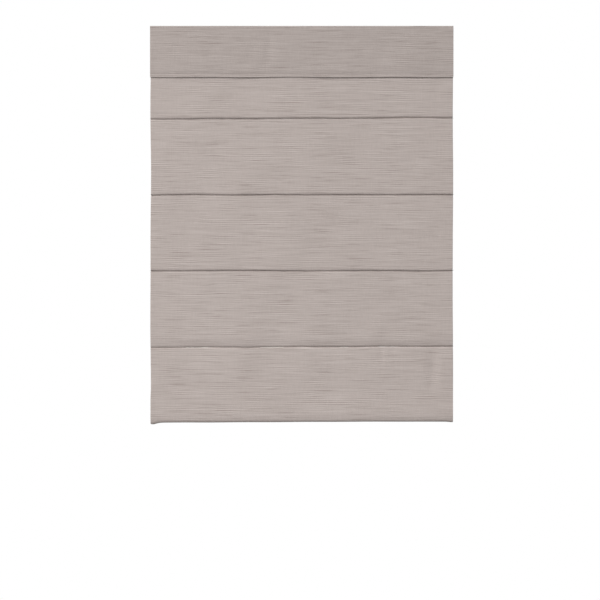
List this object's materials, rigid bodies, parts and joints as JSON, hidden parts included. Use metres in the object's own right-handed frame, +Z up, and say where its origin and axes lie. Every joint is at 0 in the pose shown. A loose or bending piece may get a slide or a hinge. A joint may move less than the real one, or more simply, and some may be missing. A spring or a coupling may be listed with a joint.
{
  "type": "roman blind",
  "caption": "Flat cordless roman blind with a valance, opaque cloth tucked around flat ribs, a weighted bottom bar and a headrail with spring-driven cord spools.",
  "frame": {"origin": "middle of the four bracket screw holes, on the brackets' top plane", "axes": "+X to the viewer's right along the headrail, -Y towards the room, +Z up to the window head"},
  "size_m": [0.773, 0.0615, 1.0076],
  "materials": {
    "face_fabric": "matt slub weave",
    "tape_fabric": "matt",
    "cord_fabric": "braided",
    "rail_metal": "white powder coat",
    "bar_metal": "mill finish",
    "bracket_steel": "zinc plated",
    "shaft_steel": "zinc plated",
    "spring_steel": "blued",
    "rib_steel": "coated",
    "white_plastic": "moulded",
    "grey_plastic": "moulded",
    "clear_plastic": "moulded"
  },
  "bodies": {
    "headrail": {"headrail": "rail_metal", "headrail_cap_left": "white_plastic", "headrail_cap_right": "white_plastic", "bracket_left": "bracket_steel", "bracket_right": "bracket_steel", "hook_tape": "tape_fabric", "loop_tape": "tape_fabric", "face_cloth": "face_fabric", "valance": "face_fabric", "spool_cradle_left": "white_plastic", "spool_cradle_right": "white_plastic", "motor_case": "white_plastic", "motor_cover": "white_plastic", "motor_spring": "spring_steel", "lift_cord_left": "cord_fabric", "lift_cord_right": "cord_fabric"},
    "lift_shaft": {"lift_shaft": "shaft_steel", "lift_spools": "white_plastic", "drive_drum": "grey_plastic"},
    "storage_drum": {"storage_drum": "grey_plastic"},
    "bottom_rail": {"bottom_bar": "bar_metal", "bottom_bar_cap_left": "grey_plastic", "bottom_bar_cap_right": "grey_plastic", "cord_anchor_left": "clear_plastic", "cord_anchor_right": "clear_plastic"},
    "rib_1": {"rib_1": "rib_steel", "cord_rings_1": "clear_plastic"},
    "rib_2": {"rib_2": "rib_steel", "cord_rings_2": "clear_plastic"},
    "rib_3": {"rib_3": "rib_steel", "cord_rings_3": "clear_plastic"},
    "rib_4": {"rib_4": "rib_steel", "cord_rings_4": "clear_plastic"}
  },
  "joints": [
    {"name": "bottom_rail_lift", "type": "slide", "parent": "headrail", "child": "bottom_rail", "axis": [0, 0, 1], "range_m": [0, 0.735], "deforming": ["face_cloth", "lift_cord_left", "lift_cord_right"]},
    {"name": "rib_1_lift", "type": "slide", "parent": "headrail", "child": "rib_1", "axis": [0, 0, 1], "range_m": [0, 0.1603]},
    {"name": "rib_2_lift", "type": "slide", "parent": "headrail", "child": "rib_2", "axis": [0, 0, 1], "range_m": [0, 0.3175]},
    {"name": "rib_3_lift", "type": "slide", "parent": "headrail", "child": "rib_3", "axis": [0, 0, 1], "range_m": [0, 0.4747]},
    {"name": "rib_4_lift", "type": "slide", "parent": "headrail", "child": "rib_4", "axis": [0, 0, 1], "range_m": [0, 0.6318]},
    {"name": "lift_shaft_turn", "type": "hinge", "parent": "headrail", "child": "lift_shaft", "pos_m": [0, -0.00125, -0.0262], "axis": [1, 0, 0], "range_deg": [-5332.7, 0]},
    {"name": "storage_drum_turn", "type": "hinge", "parent": "headrail", "child": "storage_drum", "pos_m": [0, 0.01525, -0.0262], "axis": [1, 0, 0], "range_deg": [0, 7307]}
  ],
  "couplings": [
    {"joint": "rib_1_lift", "follows": "bottom_rail_lift", "ratio": 0.21747},
    {"joint": "rib_2_lift", "follows": "bottom_rail_lift", "ratio": 0.43129},
    {"joint": "rib_3_lift", "follows": "bottom_rail_lift", "ratio": 0.64511},
    {"joint": "rib_4_lift", "follows": "bottom_rail_lift", "ratio": 0.85893},
    {"joint": "lift_shaft_turn", "follows": "bottom_rail_lift", "rad_per_m": -126.58},
    {"joint": "storage_drum_turn", "follows": "bottom_rail_lift", "rad_per_m": 173.47}
  ]
}
